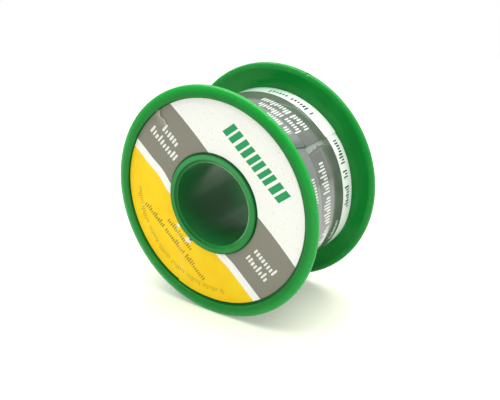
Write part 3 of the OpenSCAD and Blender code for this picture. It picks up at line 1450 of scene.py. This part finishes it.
@dataclass
class PaperRing:
    """The paper ring in the front recess, printed, creased and slightly wavy."""

    axis_height: float
    floor: float
    outer_r: float = 22.12
    inner_r: float = 11.08
    outer_shift: Point = (-0.19, 0.12)
    inner_shift: Point = (-0.02, 0.04)
    thickness: float = 0.1
    around: int = 600
    rings: int = 56
    fold: tuple[Point, ...] = (
        (-13.4, 18.2), (-13.4, 17.0), (-13.05, 16.4), (-12.2, 15.9), (-11.6, 14.3)
    )
    fold_height: float = 0.3
    fold_fade: float = 2.6
    lap_angle: float = -114.8
    notch_angle: float = -121.6
    bulge_angle: float = 128.6
    mark_width: float = 1.9
    lap: float = 0.22
    notch: float = 0.5
    wave_height: float = 0.03
    clearance: float = 0.01

    def build(self) -> bpy.types.Object:
        """Builds, creases and dresses the ring.

        Returns:
            The finished ring.
        """
        centre = self.middle(self.outer_shift)
        ring = Workpiece.start(
            "paper_ring",
            bpy.ops.mesh.primitive_circle_add,
            vertices=self.around,
            radius=self.outer_r * MM,
            location=centre,
            rotation=(math.pi / 2, 0, 0),
        )
        ring.settle()
        step = (self.inner_r / self.outer_r) ** (1 / self.rings)
        drift = (self.middle(self.inner_shift) - centre) / self.rings
        with ring.editing():
            bpy.ops.mesh.select_all(action="SELECT")
            for index in range(self.rings):
                bpy.ops.mesh.extrude_region_move(TRANSFORM_OT_translate={"value": drift})
                bpy.ops.transform.resize(
                    value=(step,) * 3, center_override=centre + drift * (index + 1)
                )
        self.relief(ring)
        ring.modify("SOLIDIFY", thickness=self.thickness * MM, offset=0.0)
        ring.close_up()
        ring.smooth(40.0)
        finish = PrintedPaper("printed_paper", self.axis_height)
        return ring.finish(finish.material(), "front_label", "label_paper")

    def middle(self, shift: Point) -> Vector:
        """The recess floor's middle, moved aside by a shift in millimetres."""
        return Vector((shift[0], -self.floor, self.axis_height + shift[1])) * MM

    def relief(self, ring: Workpiece) -> None:
        """Lifts the paper's waves and its fold off the floor, and shifts its edges at the marks.

        Args:
            ring: The flat ring.
        """
        for vertex in ring.obj.data.vertices:
            x, z = vertex.co.x / MM, vertex.co.z / MM - self.axis_height
            stretch = 1 + self.edge_shift(x, z) / math.hypot(x, z)
            lift = self.thickness / 2 + self.clearance + self.wave(x, z) + self.flap(x, z)
            place = (x * stretch, -self.floor - lift, z * stretch + self.axis_height)
            vertex.co = Vector(place) * MM

    def edge_shift(self, x: float, z: float) -> float:
        """How far the lap and the bulge at the rim and the nick at the collar move an edge out.

        Args:
            x: Distance to the right.
            z: Height over the axis.

        Returns:
            The shift in millimetres.
        """
        radius, angle = math.hypot(x, z), math.degrees(math.atan2(z, x))
        near_rim = max(0.0, min(1.0, (radius - 20.5) / 1.5))
        past = angle - self.lap_angle
        lap = self.lap * max(0.0, 1 - past / 20) if past > 0 else -0.08 * math.exp(past / 4)
        bulge = self.lap * max(0.0, 1 - abs(angle - self.bulge_angle) / self.mark_width)
        near_collar = max(0.0, 1 - (radius - self.inner_r) / 1.2)
        nick = self.notch * math.exp(-(((angle - self.notch_angle) / self.mark_width) ** 2))
        return (lap + bulge) * near_rim + nick * near_collar

    def wave(self, x: float, z: float) -> float:
        """Height of the paper's slow waves."""
        return self.wave_height * (1 + noise.noise(Vector((x * 0.13, 3.1, z * 0.13))))

    def flap(self, x: float, z: float) -> float:
        """Height of the paper beside the short fold at the ring's upper left edge.

        Args:
            x: Distance to the right.
            z: Height over the axis.

        Returns:
            The height, which drops steeply across the fold line.
        """
        here, best, side = Vector((x, z)), math.inf, 0.0
        away = (here - Vector(self.fold[1])).length
        if away > 8:
            return 0.0
        for start, end in zip(self.fold, self.fold[1:]):
            first, run = Vector(start), Vector(end) - Vector(start)
            share = max(0.0, min(1.0, (here - first).dot(run) / run.length_squared))
            gap = here - first - run * share
            if gap.length < best:
                best = gap.length
                side = gap.dot(Vector((run.y, -run.x)).normalized())
        fade = math.exp(-(away / self.fold_fade) ** 2)
        slope = math.exp(-best / 1.1) if side > 0 else max(0.0, 1 - best / 0.25)
        return self.fold_height * fade * slope


@dataclass
class FilmWrap:
    """The printed film round the wire, its outer end lying over its inner end."""

    chart: ClassVar[str] = "film_chart"

    axis_height: float
    radius: float = 19.46
    half_width: float = 11.02
    thickness: float = 0.05
    step: float = 0.06
    seam_angle: float = 39.0
    overlap: float = 7.91
    ramp_angle: float = 4.0
    slack_angle: float = -31.0
    slack: float = 0.4
    sag: float = 0.53
    sag_shift: float = 5.0
    sag_width: float = 20.0
    lift: float = 0.42
    lift_angle: float = 5.0
    around: int = 420
    across: int = 72

    @property
    def overlap_angle(self) -> float:
        """Angle over which the film lies on itself."""
        return math.degrees(self.overlap / self.radius)

    @property
    def arc(self) -> float:
        """Whole angle that the film covers."""
        return 360 + self.overlap_angle

    def build(self) -> bpy.types.Object:
        """Builds, wraps and dresses the film.

        Returns:
            The finished film.
        """
        film = Workpiece.start(
            "film_wrap",
            bpy.ops.mesh.primitive_grid_add,
            x_subdivisions=self.around,
            y_subdivisions=self.across,
            size=1.0,
            calc_uvs=True,
        )
        film.settle()
        film.obj.data.uv_layers[0].name = self.chart
        self.wrap(film)
        film.modify("SOLIDIFY", thickness=self.thickness * MM, offset=0.0)
        film.smooth(40.0)
        finish = PrintedFilm(
            name="printed_film",
            arc=self.arc,
            seam_run=self.overlap_angle,
            half_width=self.half_width,
            millimetres_per_degree=math.radians(self.radius),
        )
        return film.finish(finish.material(), "wrap_label", "wrap_film")

    def wrap(self, film: Workpiece) -> None:
        """Lays the flat grid round the wire.

        Args:
            film: The flat film, one unit long along X and one wide along Y.
        """
        for vertex in film.obj.data.vertices:
            share, y = vertex.co.x + 0.5, vertex.co.y * 2 * self.half_width
            run = share * (self.arc - share ** 40 * self.torn_back(y))
            angle = self.seam_angle + self.overlap_angle - run
            radius = self.middle_r(run, angle, y)
            turn = math.radians(angle)
            vertex.co = Vector(
                (radius * math.cos(turn), y, radius * math.sin(turn) + self.axis_height)
            ) * MM
        film.close_up()

    @staticmethod
    def torn_back(y: float) -> float:
        """Angle by which the film's outer end stops short at a distance along the reel."""
        return 0.62 * max(0.0, -1.0 - y) + 0.25 * (1 + noise.noise(Vector((y * 1.3, 0.0, 4.1))))

    def middle_r(self, run: float, angle: float, y: float) -> float:
        """Radius of the film's middle surface.

        Args:
            run: Angle along the film from its inner end.
            angle: Angle round the reel, from +X towards +Z.
            y: Distance to the rear of the middle of the reel's width.

        Returns:
            The radius in millimetres.
        """
        climb = max(0.0, min(1.0, (run - (360 - self.ramp_angle)) / self.ramp_angle))
        off = (angle - self.slack_angle + 180) % 360 - 180
        slack = self.slack * max(0.0, math.cos(math.radians(off)))
        slack += self.sag * math.exp(-(((off - self.sag_shift) / self.sag_width) ** 2))
        return (
            self.radius
            + self.thickness / 2
            + self.step * climb
            + slack
            + self.folds(run, y)
            + self.lifted_end(run, y)
        )

    @staticmethod
    def folds(run: float, y: float) -> float:
        """Height of the film's long fold, of the rise behind it and of its slow waves.

        Args:
            run: Angle along the film from its inner end.
            y: Distance to the rear of the middle of the reel's width.

        Returns:
            The height, which is 0 on the stretch that the outer end covers.
        """
        slow = 0.03 * (1 + noise.noise(Vector((run * 0.03, y * 0.2, 1.7))))
        line = -1.2 - 0.4 * (run > 300)
        fold = 0.05 * math.exp(-(((y - line) / 0.22) ** 2))
        rise = 0.06 * max(0.0, min(1.0, (y - line) / 3.0))
        bare = max(0.0, min(1.0, run / 6.0 - 4.0))
        return (slow + rise + fold) * bare

    def lifted_end(self, run: float, y: float) -> float:
        """Height by which the front part of the outer end curls off the layer under it."""
        loose = 1 / (1 + math.exp((y + 1.6) / 0.35))
        return self.lift * loose * max(0.0, 1 - (self.arc - run) / self.lift_angle) ** 2


# ---------------------------------------------------------------------------
# Studio
# ---------------------------------------------------------------------------


@dataclass
class Studio:
    """Camera, floor, world and lamps."""

    azimuth: float = 33.416
    elevation: float = 22.375
    roll: float = -0.955
    place: Corner = (93.297, -139.619, 91.070)
    focal: float = 831.30
    picture_width: int = 500
    sensor: float = 36.0
    clip_start: float = 0.005
    target: Corner = (0.0, 0.0, 22.0)
    light: float = 0.4
    reflected: float = 0.8
    floor_size: float = 3.0
    floor_near: float = 130.0
    floor_far: float = 300.0
    floor_lit: Colour = (0.8, 0.8, 0.77, 1.0)
    # The floor as seen and its glow are tinted green-yellow: painted bounce light from the green
    # reel, which shows in its shadow.
    floor_seen: Colour = (0.76, 0.80, 0.66, 1.0)
    floor_glow: Colour = (0.95, 1.0, 0.88, 1.0)
    glow_strength: float = 0.225

    def camera(self) -> None:
        """Adds the camera at its place and angle."""
        a, e, roll = (math.radians(v) for v in (self.azimuth, self.elevation, self.roll))
        ahead = Vector((-math.sin(a) * math.cos(e), math.cos(a) * math.cos(e), -math.sin(e)))
        level = Vector((math.cos(a), math.sin(a), 0.0))
        down = ahead.cross(level)
        right = math.cos(roll) * level + math.sin(roll) * down
        below = -math.sin(roll) * level + math.cos(roll) * down
        data = bpy.data.cameras.new("camera")
        data.sensor_width = self.sensor
        data.lens = self.focal * self.sensor / self.picture_width
        data.clip_start = self.clip_start
        camera = bpy.data.objects.new("camera", data)
        turn = Matrix((right, -below, -ahead)).transposed().to_4x4()
        camera.matrix_world = Matrix.Translation(Vector(self.place) * MM) @ turn
        bpy.context.scene.collection.objects.link(camera)
        bpy.context.scene.camera = camera

    def lamp(self, name: str, place: Sequence[float], size: float, power: float) -> None:
        """Adds a square soft lamp that looks at the reel.

        Args:
            name: The lamp's name.
            place: Where it hangs, in millimetres.
            size: The length of its side, in millimetres.
            power: Its power in watts.
        """
        data = bpy.data.lights.new(name, "AREA")
        data.shape, data.size, data.energy = "SQUARE", size * MM, power
        lamp = bpy.data.objects.new(name, data)
        here, aim = Vector(place) * MM, Vector(self.target) * MM
        lamp.matrix_world = Matrix.Translation(here) @ (
            (aim - here).to_track_quat("-Z", "Y").to_matrix().to_4x4()
        )
        bpy.context.scene.collection.objects.link(lamp)

    def world(self) -> None:
        """Lights everything evenly and shows plain white behind it."""
        world = bpy.data.worlds.new("tent")
        bench = Bench(world)
        seen, mirrored = self.rays(bench)
        strength = seen.most(mirrored * self.reflected).most(self.light)
        background = bench.node("Background", None, {"Color": WHITE, "Strength": strength})
        bench.node("OutputWorld", None, {"Surface": background.outputs[0]})
        bpy.context.scene.world = world

    @staticmethod
    def rays(bench: Bench) -> tuple[Scalar, Scalar]:
        """Tells the rays apart that see the background.

        Args:
            bench: The material's or the world's tree.

        Returns:
            1 for the camera's rays, and 1 for those and for mirrored or refracted ones.
        """
        path = bench.node("LightPath")
        camera, glossy, through = (
            Scalar(bench, path.outputs[f"Is {kind} Ray"])
            for kind in ("Camera", "Glossy", "Transmission")
        )
        return camera, camera.most(glossy).most(through)

    def floor(self) -> None:
        """Adds the plain pale floor, which keeps the reel's shadow and turns white further off."""
        sheet = Workpiece.start("floor", bpy.ops.mesh.primitive_plane_add, size=self.floor_size)
        bench = Bench.of_material("floor_white")
        seen, mirrored = self.rays(bench)
        # The camera's tint and the glow's tint are painted bounce light from the green reel.
        tone = bench.mix(seen, self.floor_lit, self.floor_seen)
        glow = {"Color": self.floor_glow, "Strength": mirrored * self.glow_strength}
        x, y, _ = bench.split(bench.millimetres(0.0))
        far = ((x * x + y * y) ** 0.5).ramp(self.floor_near, self.floor_far) * seen

        def shader(kind: str, sockets: dict[Any, Any]) -> bpy.types.NodeSocket:
            """Adds a shader node and returns its output."""
            return bench.node(kind, None, sockets).outputs[0]

        matt = shader("BsdfDiffuse", {"Color": tone})
        near = shader("AddShader", {0: matt, 1: shader("Emission", glow)})
        white = shader("Emission", {"Color": WHITE, "Strength": 1.0})
        whole = shader("MixShader", {0: far, 1: near, 2: white})
        bench.node("OutputMaterial", None, {"Surface": whole})
        sheet.obj.data.materials.append(bench.owner)

    def build(self) -> None:
        """Sets the whole studio up."""
        bpy.context.scene.view_settings.view_transform = "Standard"
        self.camera()
        self.floor()
        self.world()
        self.lamp("key", (-25, 35, 450), 560, 4.05)
        self.lamp("fill", (-300, -440, 240), 420, 0.26)
        self.lamp("side", (450, 80, 200), 300, 0.5)


def main() -> None:
    """Builds the studio and the reel's pieces in order."""
    logging.basicConfig(level=logging.INFO, format="%(name)s: %(message)s")
    Studio().build()
    front = ReelHalf(Side.FRONT, "front_reel_half", (17, 132, 48), gate_angle=-33.0)
    # The rear half's green is a touch darker than the front's: painted shade for its inner face,
    # which lies in the winding's shade.
    rear = ReelHalf(Side.REAR, "rear_reel_half", (17, 127, 47), gate_angle=72.0)
    front.build()
    rear.build()
    Winding(axis_height=front.flange_r).build()
    PaperRing(axis_height=front.flange_r, floor=front.face - front.recess_depth).build()
    FilmWrap(axis_height=front.flange_r).build()


if __name__ == "__main__":
    main()
